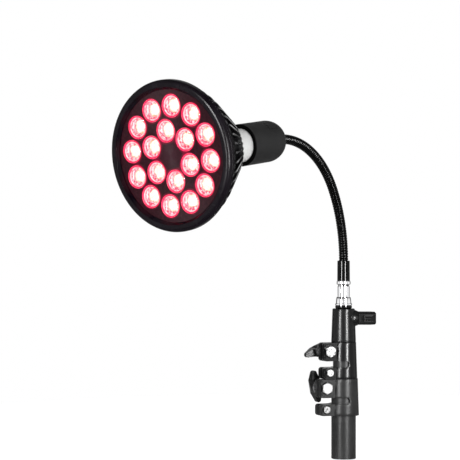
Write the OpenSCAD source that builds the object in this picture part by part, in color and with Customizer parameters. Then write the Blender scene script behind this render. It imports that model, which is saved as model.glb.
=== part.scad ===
// LED therapy lamp: a round finned lamp head in a lamp holder, on a flexible neck
// that stands on the top of a three-section telescopic tube.
// Millimetres. The origin is the middle of the outer tube's lower end, +Z runs up
// the tube, and the lamp shines towards -Y.

/* [Lamp head] */
// Largest diameter of the head, at its front ring
head_d = 121; // [116:1:135]
// Radius of the circle on which the outer lenses sit
outer_ring_r = 39.8; // [39.4:0.1:41]
// Radius of the circle on which the inner lenses sit
inner_ring_r = 20.3; // [20:0.1:20.5]
// Diameter of a lens where it shows in the front plate
lens_d = 18.5; // [14:0.1:18.8]
// Height of a lens, from its foot on the board to the back of the front plate
lens_h = 7; // [6:0.1:9]
// Number of lenses in the outer ring
outer_lenses = 12; // [8:1:12]
// Number of lenses in the inner ring
inner_lenses = 6; // [4:1:6]
// Direction of the first outer lens, from the right hand towards the top
outer_phase = 83.4; // [0:0.1:90]
// Direction of the first inner lens, from the right hand towards the top
inner_phase = 98.5; // [60:0.1:120]
// Height of the front ring's crest above the front plate
bezel_rise = 3.6; // [2:0.1:6]
// Radius of the opening in the front ring
bezel_bore_r = 52.6; // [51.5:0.1:53]

/* [Heat sink] */
// Number of cooling fins
fin_count = 48; // [32:2:56]
// Thickness of a fin
fin_w = 1.6; // [1:0.1:2]
// Length of the heat sink behind the front plate
sink_len = 61; // [54:1:66]
// Angle between the flank of the fins and the lamp's axis
flank_angle = 31; // [26:0.5:33]
// Radius of the rounded shoulder behind the front ring
shoulder_r = 35.7; // [25:0.1:45]
// Radius of the cavity that holds the driver
driver_bore_r = 19.6; // [18:0.1:20]

/* [Screw base] */
// Radius of the pale neck collar where it enters the lamp holder
collar_r = 13.9; // [13.6:0.1:14.1]
// Distance from the heat sink's back to the mouth of the lamp holder
collar_reach = 31; // [28:1:38]
// Middle radius of the screw base's thread
thread_r = 12.65; // [12:0.05:12.8]
// Half depth of the thread
thread_wave = 0.35; // [0.1:0.05:0.4]
// Pitch of the thread
thread_pitch = 3.63; // [2:0.01:4]
// Number of thread turns on the base
thread_turns = 5; // [3:1:5]

/* [Lamp holder] */
// Outer radius of the lamp holder
holder_r = 17.6; // [17:0.1:20]
// Length of its straight part
holder_len = 33.4; // [32:0.1:38]
// Wall of its shell and dome
holder_wall = 1.4; // [1:0.1:1.8]
// Width of a snap latch
latch_w = 7.5; // [5:0.1:9]
// Length of a snap latch
latch_len = 10.5; // [6:0.1:12]
// Turn of the latches away from the top, towards the right hand
latch_turn = 38; // [0:1:60]

/* [Flexible neck] */
// Diameter over the neck's ribs
neck_d = 8.4; // [7:0.1:9]
// Depth of the grooves between ribs
rib_depth = 0.5; // [0.2:0.05:0.8]
// Bore of the neck
neck_bore_d = 4.8; // [3:0.1:5.5]
// Number of separately bending pieces
neck_parts = 6; // [6:1:6]
// Number of ribs on each piece
ribs_per_part = 12; // [8:1:14]
// Angle through which the lower, gentle bend turns
neck_lean = 30; // [20:1:40]
// Radius of the lower, gentle bend
neck_rise_r = 127; // [90:1:150]
// Radius of the upper, tighter bend
neck_top_r = 83; // [60:1:100]
// Upward tilt of the lamp's axis towards its back
lamp_tilt = 7.5; // [0:0.5:20]

/* [Neck fittings] */
// Length of the black sleeve at the neck's foot
sleeve_len = 18; // [14:0.5:24]
// Diameter of that sleeve at its foot
sleeve_d = 11.4; // [10:0.1:12]
// Length of the plain end of the neck inside a fitting
neck_tail = 8.6; // [8.4:0.1:9]
// Diameter of the bright stud
stud_d = 10.9; // [9.8:0.1:11.4]
// Length of the bright stud between its nut and its flange
stud_len = 11; // [8:0.5:16]
// Thickness of the stud's flange
stud_flange_h = 3.4; // [2:0.1:5]
// Diameter of the stud's flange
stud_flange_d = 12.7; // [12:0.1:13.4]
// Height of the bell nut
bell_h = 7.2; // [6:0.1:10]
// Diameter of the bell nut's foot
bell_d = 15.4; // [14.6:0.1:17]
// Diameter of the black ring under the nut
ring_d = 15.1; // [13.6:0.1:16]
// Height of that ring
ring_h = 3.2; // [2:0.1:5]
// Diameter of the spigot that turns in the hub
spigot_d = 12; // [11:0.1:12.6]

/* [Stand tubes] */
// Outer diameter of the outer tube
outer_tube_d = 22; // [22:0.5:24]
// Outer diameter of the middle tube
middle_tube_d = 19; // [18.4:0.1:19.2]
// Outer diameter of the top tube
top_tube_d = 16; // [15.4:0.1:16.2]
// Wall of every tube
tube_wall = 1.2; // [1:0.1:1.2]
// Free length of the outer tube under the lower clamp
tube_grip = 38.7; // [30:0.5:80]
// Open depth of the outer tube's lower end
tube_socket = 12; // [8:1:16]
// Height of a guide bush
bush_h = 8; // [5:0.5:10]
// Width of the rolled groove in a tube, just inside the collar that is fixed to it
groove_w = 1.2; // [0.8:0.1:2]
// Depth of that groove
groove_depth = 0.3; // [0.2:0.05:0.4]

/* [Clamps] */
// Height of the ring that grips the larger tube
low_ring_h = 10.4; // [9:0.1:14]
// Height of the slot between the two rings
slot_h = 5.7; // [3:0.1:8]
// Height of the ring that clamps the smaller tube
top_ring_h = 16.5; // [16:0.1:22]
// Wall of a collar at its lower end, over the tube that it is fixed to
collar_wall = 2.8; // [2.2:0.1:3.2]
// Inward lean of a collar's outside, from its lower end to its upper end
collar_taper = 1.1; // [0:0.1:1.6]
// Distance from the middle tube's surface to the upper clamp bolt's middle
upper_bolt_out = 7.6; // [7.4:0.1:9.5]
// Distance from the outer tube's surface to the lower clamp bolt's middle
lower_bolt_out = 9.4; // [7.6:0.1:10]
// Distance from the clamp bolt's middle to the end of the ears
ear_reach = 4.8; // [4:0.1:6]
// Thickness of the two ears together
ears_w = 12.8; // [12:0.1:15]
// Width of the split between the ears
split_w = 1.8; // [1:0.1:2.4]
// Direction in which the ears point, from +X towards +Y
ears_angle = 240; // [0:1:360]
// Diameter of a clamp bolt
clamp_bolt_d = 6; // [5:0.5:6]
// Width across the flats of a clamp bolt's head
clamp_head_af = 9.4; // [8:0.1:10]
// Diameter of a fixing bolt
fix_bolt_d = 4; // [3:0.5:4]
// Width across the flats of a fixing bolt's head
fix_head_af = 6.2; // [5.5:0.1:7]

/* [Knobs] */
// Span of a wing knob
wing_span = 29; // [24:0.5:30]
// Depth of a wing knob along its bolt
wing_depth = 14.5; // [13:0.5:20]
// Diameter of a wing knob's hub
wing_hub_d = 12.6; // [11:0.1:13]
// Turn of the upper wing knob from level
upper_wing_turn = 20; // [-90:1:90]
// Turn of the lower wing knob from level
lower_wing_turn = -80; // [-90:1:90]
// Span of the hub's knob
hub_knob_span = 26; // [20:0.5:30]
// Depth of the hub's knob along its screw
hub_knob_depth = 15.6; // [12:0.1:20]

/* [Hub] */
// Height of the hub
hub_h = 30; // [26:0.5:40]
// Wall of the hub over the top tube, at its lower end
hub_wall = 3.1; // [2.4:0.1:4]
// Inward lean of the hub's outside, from its lower end to its upper end
hub_taper = 1.1; // [0:0.1:1.4]
// Depth to which the top tube goes into the hub
hub_seat = 13.4; // [10:0.1:14]
// Height of the knob's screw above the hub's lower end
hub_screw_z = 21.4; // [20:0.1:24]
// Direction of the hub's knob, from +X towards +Y
hub_knob_angle = 36; // [0:1:360]
// Diameter of the hub's screw
hub_screw_d = 6; // [4:0.5:6]

/* [Hidden] */
$fn = 96;

// Clearances: a fit that slides or turns, a fit that is pressed or screwed, a loose hole
run_gap = 0.08;
snug_gap = 0.05;
hole_gap = 0.2;
// How far a cutter passes beyond the face that it opens
over = 1;

// Colours
glossy_black = [0.09, 0.08, 0.10];
satin_black = [0.13, 0.13, 0.14];
holder_grey = [0.24, 0.24, 0.25];
tube_grey = [0.26, 0.26, 0.27];
lens_red = [1.0, 0.28, 0.38];
chrome = [0.88, 0.88, 0.90];
steel = [0.75, 0.75, 0.77];
brass = [0.80, 0.66, 0.32];
pale = [0.93, 0.93, 0.92];
board_white = [0.90, 0.92, 0.90];
board_green = [0.10, 0.38, 0.22];

// Lamp head, measured back from the plane of the lenses' tops along the lamp's axis
plate_front = 2;
plate_t = 2;
plate_back = plate_front + plate_t;
bezel_back = plate_back + 1;
bezel_lip = 1;
board_front = plate_back + lens_h;
board_t = 1.6;
board_back = board_front + board_t;
head_r = head_d / 2;
cup_r = head_r - 3.3;
cup_wall = 2.4;
board_r = cup_r - cup_wall - 0.5;
lens_r = lens_d / 2;
lens_flange_r = lens_r + 0.65;
lens_flange_t = 1;
lens_foot_r = 3.8;
lens_crown = 1.9;
led_well_r = 2.9;
led_well_h = 2.6;
led_w = 3.5;
board_screw_ring = 30.5;
board_screw_count = 4;
board_screw_r = 1.5;
lead_hole_r = 3.2;

// Heat sink
sink_front = bezel_back;
sink_back = plate_front + sink_len;
sink_floor = 3;
shoulder_steps = 8;
sink_shoulder_r = head_r - 1;
fin_tail = 9;
fin_tail_drop = 9;
// Shape of the rounded tail: share of its length, share of its drop
fin_tail_round = [[0, 0], [0.45, 0.32], [0.8, 0.66], [1, 1]];
// Depth of the grooves between the fins on their flank and at their tails
fin_depth = 11;
tail_depth = 2.8;
flank_start = -0.4;
flank_t = flank_start + shoulder_r * sin(flank_angle);
flank_r = sink_shoulder_r - shoulder_r * (1 - cos(flank_angle));
fin_end_t = sink_back - fin_tail;
fin_end_r = flank_r - (fin_end_t - flank_t) * tan(flank_angle);
sink_neck_r = driver_bore_r + 2;

// Driver
driver_front = board_back + sink_floor + 3.6;
cup_t = 1.2;
driver_cup_r = driver_bore_r - 0.2;
driver_bore_in = driver_cup_r - cup_t;
driver_pcb_w = 2 * driver_bore_in - 0.4;
driver_pcb_t = 1.6;
driver_pcb_front = driver_front + 4;
driver_pcb_back = sink_back - 5;

// Screw base and lamp holder
holder_front = sink_back + collar_reach;
dome_centre = holder_front + holder_len;
holder_apex = dome_centre + holder_r;
collar_plug = 3;
collar_flange_r = sink_neck_r - 0.3;
shell_front = holder_front + 2;
shell_back = shell_front + thread_turns * thread_pitch;
shell_t = 0.4;
insulator_h = 3.6;
insulator_tip_r = 5.2;
tip_r = 4.6;
tip_h = 1.8;
tip_end = shell_back + insulator_h + tip_h;
core_r = holder_r - holder_wall - 0.1;
core_bore = thread_r + thread_wave + 1.35;
contact_t = 0.5;
core_floor = tip_end + 3;
core_floor_t = 3.4;
sleeve_flange_t = 0.5;
mouth_step = 0.4;
latch_gap = 0.6;
terminal_x = 8;
terminal_r = 2.6;

// Ferrule that joins the neck to the dome
ferrule_flat = 0.9;
ferrule_flange_r = 5.6;
ferrule_flange_h = 2.9;
ferrule_shank_r = neck_d / 2 + 0.95;
ferrule_seat = holder_apex - ferrule_flat;
ferrule_floor = holder_apex - neck_tail;
ferrule_back = ferrule_floor - 3.4;
nut_seat = dome_centre + holder_r - 2.8;
nut_h = 3.4;
nut_r = 7;

// Stand, measured up from the tube's lower end
lower_z = tube_grip;
collar_h = low_ring_h + slot_h + top_ring_h;
upper_z = lower_z + collar_h;
hub_z = upper_z + collar_h;
hub_top = hub_z + hub_h;
outer_tube_r = outer_tube_d / 2;
middle_tube_r = middle_tube_d / 2;
top_tube_r = top_tube_d / 2;
tube_over = 3;
ring_split_z = low_ring_h + slot_h + tube_over;
outer_tube_top = lower_z + ring_split_z;
middle_tube_top = upper_z + ring_split_z;
bush_lip = 3;
middle_bush_z = tube_socket;
top_bush_z = middle_bush_z + bush_h + 1;

// Adapter between the stand and the neck
ring_top = hub_top + ring_h;
bell_top = ring_top + bell_h;
flange_z = bell_top + stud_len;
sleeve_z = flange_z + stud_flange_h;
neck_z = sleeve_z + sleeve_len;
spigot_r = spigot_d / 2;
spigot_z = hub_z + hub_seat + 1.5;
spigot_waist_r = spigot_r - 0.8;
spigot_waist_h = 8;
thread_shank_r = 4.6;
thread_shank_z = hub_top - 3;
stud_tenon_r = neck_d / 2 + 0.3 - snug_gap;

// Neck: two arcs in the plane X = 0, and a straight end at each side
rise_len = neck_rise_r * neck_lean * PI / 180;
top_turn = 90 + lamp_tilt - neck_lean;
top_len = neck_top_r * top_turn * PI / 180;
neck_len = rise_len + top_len;
part_len = neck_len / neck_parts;
neck_sides = 8;
neck_r = neck_d / 2;
neck_socket_r = neck_r + 0.3;
tail_r = neck_r - 0.05;
bore_steps = 4;
// Corners stand out by this factor, so that the flats and corners of a ring average its radius
corner_out = 2 / (1 + cos(180 / neck_sides));

// Place of the neck's middle line at the distance s along it: y, z and the heading from up
function neck_at(s) =
    s < 0 ? [0, neck_z + s, 0]
    : s < rise_len ? arc_point([0, neck_z], 0, neck_rise_r, s)
    : s < neck_len ? arc_point(rise_end, neck_lean, neck_top_r, s - rise_len)
    : let (e = neck_end) [e[0] - (s - neck_len) * sin(e[2]), e[1] + (s - neck_len) * cos(e[2]), e[2]];
function arc_point(from, heading, radius, s) =
    let (h = heading + s / radius * 180 / PI)
    [from[0] - radius * (cos(heading) - cos(h)), from[1] + radius * (sin(h) - sin(heading)), h];
rise_end = arc_point([0, neck_z], 0, neck_rise_r, rise_len);
neck_end = arc_point(rise_end, neck_lean, neck_top_r, top_len);

// Middle of the lamp's front, where its frame has its origin
lamp_y = neck_end[0] - holder_apex * cos(lamp_tilt);
lamp_z = neck_end[1] - holder_apex * sin(lamp_tilt);

// The lamp's own frame: +Z runs back along its axis, +X to the right hand, -Y to the top
module lamp_frame() {
    translate([0, lamp_y, lamp_z]) rotate([lamp_tilt - 90, 0, 0]) children();
}

// A clamp's own frame: +X runs along its ears, +Y to the bolt heads
module clamp_frame(z) {
    translate([0, 0, z]) rotate([0, 0, ears_angle]) children();
}

// A frame whose +Z runs outwards along the screw of the hub's knob
module hub_screw_frame() {
    translate([0, 0, hub_z + hub_screw_z]) rotate([0, 0, hub_knob_angle]) rotate([0, 90, 0]) children();
}

module tube(r_out, r_in, z0, z1) {
    translate([0, 0, z0]) difference() {
        cylinder(r = r_out, h = z1 - z0);
        translate([0, 0, -over]) cylinder(r = r_in, h = z1 - z0 + 2 * over);
    }
}

module disc(r, z0, z1) {
    translate([0, 0, z0]) cylinder(r = r, h = z1 - z0);
}

// Places on a circle seen from the front of the lamp, with the angle from right to top
module on_ring(radius, count, phase) {
    for (i = [0 : count - 1]) {
        a = phase + i * 360 / count;
        translate([radius * cos(a), -radius * sin(a), 0]) children();
    }
}

module lens_places() {
    on_ring(outer_ring_r, outer_lenses, outer_phase) children();
    on_ring(inner_ring_r, inner_lenses, inner_phase) children();
}

module board_screw_places() {
    on_ring(board_screw_ring, board_screw_count, outer_phase + 15) children();
}

// Rectangle with rounded corners, from corner to corner
module rounded_rect(x0, y0, x1, y1, r) {
    translate([x0 + r, y0]) square([x1 - x0 - 2 * r, y1 - y0]);
    translate([x0, y0 + r]) square([x1 - x0, y1 - y0 - 2 * r]);
    for (x = [x0 + r, x1 - r], y = [y0 + r, y1 - r]) translate([x, y]) circle(r = r);
}

// Hexagonal head or nut with its corners turned off, its flat seat at z = 0
module hex_head(af, h) {
    corner = af / 2 / cos(30);
    bevel = 0.12 * af;
    intersection() {
        rotate([0, 0, 30]) cylinder(r = corner, h = h, $fn = 6);
        rotate_extrude() polygon([[0, 0], [corner + 0.1, 0], [corner + 0.1, h - bevel * 0.5],
            [corner - bevel, h], [0, h]]);
    }
}

// Front ring of the head: a rounded crest, a sloping inside and a skirt round the cup
module front_bezel() {
    crest_t = plate_front - bezel_rise;
    crest_r = head_r - 3.9;
    round_r = 3.6;
    inner_round = 0.8;
    inner_r = crest_r - 1.6;
    color(glossy_black) lamp_frame() rotate_extrude() difference() {
        polygon(concat(
            [[bezel_bore_r, plate_front], [bezel_bore_r, plate_front - bezel_lip]],
            [for (a = [0 : 15 : 60]) [inner_r + inner_round * (1 - cos(a)) - inner_round,
                crest_t + inner_round * (1 - sin(a))]],
            [for (a = [90 : -15 : 0]) [head_r - round_r + round_r * cos(a),
                crest_t + round_r * (1 - sin(a))]],
            [[head_r, bezel_back]],
            [[cup_r + snug_gap, bezel_back], [cup_r + snug_gap, plate_front]]));
        translate([head_r, crest_t + round_r + 1.4]) circle(r = 0.35);
    }
}

// Dark front plate with a hole for each lens
module lens_plate() {
    color(satin_black) lamp_frame() difference() {
        disc(cup_r - 0.1, plate_front, plate_back);
        lens_places() disc(lens_r + snug_gap, plate_front - over, plate_back + over);
    }
}

// Collimating lens: domed front, flange behind the plate, narrowing body with a well for the LED
module lens() {
    edge = plate_front - 0.4;
    rotate_extrude() polygon(concat(
        [for (i = [0 : 6]) let (a = 90 - 15 * i) [lens_r * cos(a), edge - lens_crown * sin(a)]],
        [[lens_r, plate_back], [lens_flange_r, plate_back], [lens_flange_r, plate_back + lens_flange_t],
         [lens_r - 0.6, plate_back + lens_flange_t]],
        [for (i = [1 : 5]) let (k = i / 5) [lens_r - 0.6 - (lens_r - 0.6 - lens_foot_r) * k * k * 0.35
            - (lens_r - 0.6 - lens_foot_r) * k * 0.65,
            plate_back + lens_flange_t + (lens_h - lens_flange_t) * k]],
        [[led_well_r, board_front], [led_well_r, board_front - led_well_h], [0, board_front - led_well_h]]));
}

module lenses_outer() {
    color(lens_red) lamp_frame() on_ring(outer_ring_r, outer_lenses, outer_phase) lens();
}

module lenses_inner() {
    color(lens_red) lamp_frame() on_ring(inner_ring_r, inner_lenses, inner_phase) lens();
}

// One LED package under each lens: square body and clear dome
module led_emitters() {
    base_h = 0.7;
    dome_r = 1.35;
    color("white") lamp_frame() lens_places() {
        translate([-led_w / 2, -led_w / 2, board_front - base_h]) cube([led_w, led_w, base_h]);
        intersection() {
            translate([0, 0, board_front - base_h]) sphere(r = dome_r);
            disc(dome_r + over, board_front - base_h - dome_r - over, board_front - base_h);
        }
    }
}

module led_board() {
    color(board_white) lamp_frame() difference() {
        disc(board_r, board_front, board_back);
        disc(lead_hole_r, board_front - over, board_back + over);
        board_screw_places() disc(board_screw_r + hole_gap, board_front - over, board_back + over);
    }
}

module board_screws() {
    screw_head_r = 2.8;
    head_h = 1.8;
    color(steel) lamp_frame() board_screw_places() {
        disc(screw_head_r, board_front - head_h, board_front);
        disc(board_screw_r, board_front, board_back + sink_floor + 1);
    }
}

// Outline of the fins: rounded shoulder, straight flank and a steeper tail at the back
module fin_profile() {
    polygon(concat(
        [[0, sink_front]],
        [for (i = [0 : shoulder_steps])
            let (a = flank_angle * i / shoulder_steps, t = flank_start + shoulder_r * sin(a))
            if (t > sink_front + 0.5) [sink_shoulder_r - shoulder_r * (1 - cos(a)), t]],
        [for (p = fin_tail_round) [fin_end_r - fin_tail_drop * p[1], fin_end_t + fin_tail * p[0]]],
        [[0, sink_back]]));
}

// Solid core between the fins, from the cup's wall down to the rear neck
module core_profile() {
    polygon([[0, plate_back], [cup_r, plate_back], [cup_r, sink_front + 1],
        [cup_r - 3.4, board_back + sink_floor], [flank_r - fin_depth, flank_t],
        [fin_end_r - tail_depth, fin_end_t - 1], [sink_neck_r, sink_back - 1], [sink_neck_r, sink_back],
        [0, sink_back]]);
}

// Cast heat sink: a cup for the board, a core with the driver's cavity and a star of fins
module heat_sink() {
    color(glossy_black) lamp_frame() difference() {
        union() {
            intersection() {
                translate([0, 0, sink_front]) linear_extrude(sink_back - sink_front)
                    for (i = [0 : fin_count / 2 - 1])
                        rotate(i * 360 / fin_count) square([2 * head_r, fin_w], center = true);
                rotate_extrude() fin_profile();
            }
            rotate_extrude() core_profile();
        }
        disc(cup_r - cup_wall, plate_back - over, board_back);
        disc(lead_hole_r, board_back - over, driver_front + over);
        disc(driver_bore_r, driver_front, sink_back + over);
        board_screw_places() disc(board_screw_r + snug_gap, board_back - over, board_back + sink_floor + 2);
    }
}

// Insulating cup round the driver
module driver_cup() {
    color(pale) lamp_frame() difference() {
        disc(driver_cup_r, driver_front, sink_back - 0.2);
        disc(driver_bore_in, driver_front + cup_t, sink_back + over);
        disc(lead_hole_r, driver_front - over, driver_front + cup_t + over);
    }
}

module driver_board() {
    color(board_green) lamp_frame()
        translate([-driver_pcb_w / 2, -driver_pcb_t / 2, driver_pcb_front])
            cube([driver_pcb_w, driver_pcb_t, driver_pcb_back - driver_pcb_front]);
}

// Transformer, capacitor, choke, bridge rectifier and switch on the driver's board
module driver_components() {
    face = driver_pcb_t / 2;
    z0 = driver_pcb_front;
    color([0.85, 0.75, 0.3]) lamp_frame() {
        translate([-7, face, z0 + 9]) {
            difference() {
                cube([14, 10, 13]);
                translate([3, -over, 2.5]) cube([2.5, 10 + 2 * over, 8]);
                translate([8.5, -over, 2.5]) cube([2.5, 10 + 2 * over, 8]);
            }
        }
        translate([0, face + 5, z0 + 24]) cylinder(d = 10, h = driver_pcb_back - z0 - 25);
        translate([9.5, face, z0 + 26]) rotate([-90, 0, 0]) difference() {
            cylinder(r = 3.6, h = 3);
            translate([0, 0, -over]) cylinder(r = 1.5, h = 3 + 2 * over);
        }
        translate([-14, face, z0 + 25]) cube([6.5, 3, 5]);
        translate([-13, -face - 4.5, z0 + 10]) cube([10, 4.5, 9]);
        translate([2, -face - 2, z0 + 8]) cube([5, 2, 6.5]);
    }
}

// Two leads from the driver's board through the heat sink to the LED board
module led_leads() {
    lead_r = 0.7;
    color("red") lamp_frame() for (x = [-1.3, 1.3])
        translate([x, driver_pcb_t / 2 + lead_r, board_front - 0.8])
            cylinder(r = lead_r, h = driver_pcb_front + 3 - board_front + 0.8);
}

// Pale plastic neck between the heat sink and the screw base
module base_collar() {
    flange_h = 2.5;
    wall = 2;
    sweep_r = collar_flange_r - collar_r;
    color(pale) lamp_frame() rotate_extrude() polygon(concat(
        [[driver_bore_in - 0.1, sink_back - collar_plug], [driver_bore_in - 0.1, sink_back],
         [collar_flange_r, sink_back], [collar_flange_r, sink_back + flange_h]],
        [for (a = [15 : 15 : 90]) [collar_flange_r - sweep_r * sin(a),
            sink_back + flange_h + sweep_r * (1 - cos(a))]],
        [[collar_r, shell_front], [thread_r - thread_wave - shell_t - snug_gap, shell_front],
         [thread_r - thread_wave - shell_t - snug_gap, shell_front + 8],
         [thread_r - thread_wave - shell_t - wall, shell_front + 8],
         [thread_r - thread_wave - shell_t - wall, sink_back + flange_h + sweep_r],
         [driver_bore_in - wall, sink_back + flange_h], [driver_bore_in - wall, sink_back - collar_plug]]));
}

// Radius of the rounded thread at the distance t behind its start
function thread_at(mid, t) = mid - thread_wave * cos(360 * t / thread_pitch);
thread_steps = 8 * thread_turns;

// Points of the thread's outline, from the front to the back
function thread_line(mid, from) =
    [for (i = [0 : thread_steps]) let (t = i * thread_pitch / 8) [thread_at(mid, t), from + t]];
function reversed(list) = [for (i = [len(list) - 1 : -1 : 0]) list[i]];

// Threaded metal shell of the base
module screw_shell() {
    color(chrome) lamp_frame() rotate_extrude() polygon(concat(
        thread_line(thread_r, shell_front),
        reversed(thread_line(thread_r - shell_t, shell_front))));
}

module base_insulator() {
    r = thread_r - thread_wave;
    color(glossy_black) lamp_frame() rotate_extrude()
        polygon([[0, shell_back], [r, shell_back], [r, shell_back + 0.8],
            [insulator_tip_r, shell_back + insulator_h], [0, shell_back + insulator_h]]);
}

module tip_contact() {
    tip_front = shell_back + insulator_h;
    color(steel) lamp_frame() rotate_extrude()
        polygon([[0, tip_front], [tip_r, tip_front], [tip_r * 0.7, tip_end], [0, tip_end]]);
}

// Place of a snap latch, with +Z along the lamp's axis and +X outwards
module latch_places() {
    for (a = [0, 180]) rotate([0, 0, latch_turn - 90 + a]) children();
}

// Straight shell of the lamp holder, with two windows for the latches
module holder_shell() {
    color(holder_grey) lamp_frame() difference() {
        tube(holder_r, holder_r - holder_wall, holder_front, dome_centre);
        latch_places() translate([0, -latch_w / 2 - latch_gap, dome_centre - latch_len - latch_gap])
            cube([holder_r + over, latch_w + 2 * latch_gap, latch_len + latch_gap + over]);
    }
}

// Insulating insert: black mouth, bore for the thread sleeve, floor for the contacts
module holder_core() {
    color(satin_black) lamp_frame() difference() {
        disc(core_r, holder_front + mouth_step, core_floor + core_floor_t);
        disc(core_bore, holder_front - over, core_floor);
        for (x = [-terminal_x, terminal_x]) translate([x, 0, 0])
            disc(terminal_r / 2 + snug_gap, core_floor + 1, core_floor + core_floor_t + over);
    }
}

// Threaded metal sleeve that takes the screw base
module thread_sleeve() {
    mid = thread_r + 0.2;
    color(brass) lamp_frame() rotate_extrude() polygon(concat(
        thread_line(mid, shell_front),
        [[mid - thread_wave, core_floor], [core_bore - 0.05, core_floor],
         [core_bore - 0.05, core_floor - sleeve_flange_t], [mid + shell_t, core_floor - sleeve_flange_t]],
        reversed(thread_line(mid + shell_t, shell_front))));
}

// Springy strip on the floor whose raised pad meets the tip
module centre_contact() {
    strip_w = 5;
    pad = 4;
    foot = 4.6;
    color(brass) lamp_frame() translate([0, strip_w / 2, 0]) rotate([90, 0, 0]) linear_extrude(strip_w)
        polygon([[-pad, tip_end], [pad, tip_end], [pad + 2.2, core_floor - contact_t],
            [pad + 2.2 + foot / 2, core_floor - contact_t], [pad + 2.2 + foot / 2, core_floor],
            [pad + 2, core_floor], [pad - 0.2, tip_end + contact_t], [-pad, tip_end + contact_t]]);
}

module terminal_screws() {
    head_h = 2;
    back = core_floor + core_floor_t;
    color(brass) lamp_frame() for (x = [-terminal_x, terminal_x]) translate([x, 0, 0]) difference() {
        union() {
            disc(terminal_r, back, back + head_h);
            disc(terminal_r / 2, core_floor + 1.2, back);
        }
        translate([-terminal_r - over, -0.35, back + head_h - 0.8])
            cube([2 * (terminal_r + over), 0.7, 0.8 + over]);
    }
}

// Domed back of the lamp holder with its two latch tongues
module holder_dome() {
    inner_r = holder_r - 2.2;
    tongue_gap = 0.05;
    root = 0.5;
    color(holder_grey) lamp_frame() difference() {
        union() {
            intersection() {
                translate([0, 0, dome_centre]) sphere(r = holder_r);
                disc(holder_r + over, dome_centre, ferrule_seat);
            }
            latch_places() intersection() {
                tube(holder_r - tongue_gap, holder_r - holder_wall, dome_centre - latch_len,
                    dome_centre + root);
                translate([0, -latch_w / 2, dome_centre - latch_len])
                    cube([holder_r + over, latch_w, latch_len + root]);
            }
        }
        intersection() {
            translate([0, 0, dome_centre]) sphere(r = inner_r);
            disc(inner_r + over, dome_centre - over, nut_seat - 0.6);
        }
        disc(nut_r + 0.5, dome_centre, nut_seat);
        disc(ferrule_shank_r + snug_gap, dome_centre, holder_apex + over);
    }
}

// Ferrule: flange on the dome, socket for the neck's end, passage for the leads
module neck_ferrule() {
    edge = 0.6;
    top = ferrule_seat + ferrule_flange_h;
    color(steel) lamp_frame() rotate_extrude() polygon([
        [neck_socket_r, ferrule_floor], [neck_socket_r, top], [ferrule_flange_r - edge, top],
        [ferrule_flange_r, top - edge], [ferrule_flange_r, ferrule_seat], [ferrule_shank_r, ferrule_seat],
        [ferrule_shank_r, ferrule_back], [neck_bore_d / 2, ferrule_back], [neck_bore_d / 2, ferrule_floor]]);
}

module ferrule_nut() {
    color(steel) lamp_frame() difference() {
        translate([0, 0, nut_seat - nut_h]) cylinder(r = nut_r, h = nut_h, $fn = 6);
        disc(ferrule_shank_r + snug_gap, nut_seat - nut_h - over, nut_seat + over);
    }
}

// Ring of points round the neck's middle line
function neck_ring(s, r) =
    let (p = neck_at(s))
    [for (i = [0 : neck_sides - 1]) let (a = (i + 0.5) * 360 / neck_sides)
        [r * cos(a), p[0] + r * sin(a) * cos(p[2]), p[1] + r * sin(a) * sin(p[2])]];

// Skin between two rings whose first points have the numbers a and b
function skin(a, b, flip) =
    [for (i = [0 : neck_sides - 1]) let (j = (i + 1) % neck_sides)
        each flip ? [[a + i, b + j, a + j], [a + i, b + i, b + j]]
            : [[a + i, a + j, b + j], [a + i, b + j, b + i]]];

// Ribbed tube along the neck: outer rings with their radii, and a plain bore
module neck_piece(outer, bore) {
    n = len(outer);
    m = len(bore);
    points = concat([for (o = outer) each neck_ring(o[0], o[1] * corner_out)],
        [for (s = bore) each neck_ring(s, neck_bore_d / 2)]);
    faces = concat(
        [for (k = [0 : n - 2]) each skin(k * neck_sides, (k + 1) * neck_sides, true)],
        [for (k = [0 : m - 2]) each skin((n + k) * neck_sides, (n + k + 1) * neck_sides, false)],
        skin(0, n * neck_sides, false),
        skin((n - 1) * neck_sides, (n + m - 1) * neck_sides, true));
    polyhedron(points, faces, convexity = 6);
}

// Piece k of the neck, from 0: grooves at its ends, a rib between each two grooves
module gooseneck(k) {
    from = k * part_len;
    pitch = part_len / ribs_per_part;
    groove_r = neck_r - rib_depth;
    ribs = [for (i = [0 : ribs_per_part - 1])
        each [[from + i * pitch, groove_r], [from + (i + 0.5) * pitch, neck_r]]];
    low = k == 0 ? [[-neck_tail, tail_r], [-pitch / 2, tail_r]] : [];
    high = k == neck_parts - 1 ? [[neck_len + pitch / 2, tail_r], [neck_len + neck_tail, tail_r]] : [];
    start = k == 0 ? -neck_tail : from;
    stop = k == neck_parts - 1 ? neck_len + neck_tail : from + part_len;
    color(satin_black) neck_piece(concat(low, ribs, [[from + part_len, groove_r]], high),
        [for (i = [0 : bore_steps]) start + (stop - start) * i / bore_steps]);
}

module gooseneck_1() { gooseneck(0); }
module gooseneck_2() { gooseneck(1); }
module gooseneck_3() { gooseneck(2); }
module gooseneck_4() { gooseneck(3); }
module gooseneck_5() { gooseneck(4); }
module gooseneck_6() { gooseneck(5); }

// Black sleeve that joins the neck to the stud
module foot_sleeve() {
    taper = 0.15;
    edge = 0.4;
    r = sleeve_d / 2;
    color(glossy_black) rotate_extrude() polygon([[neck_socket_r, sleeve_z], [r, sleeve_z],
        [r - taper, neck_z - edge], [r - taper - edge * 0.5, neck_z], [neck_socket_r, neck_z]]);
}

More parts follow.
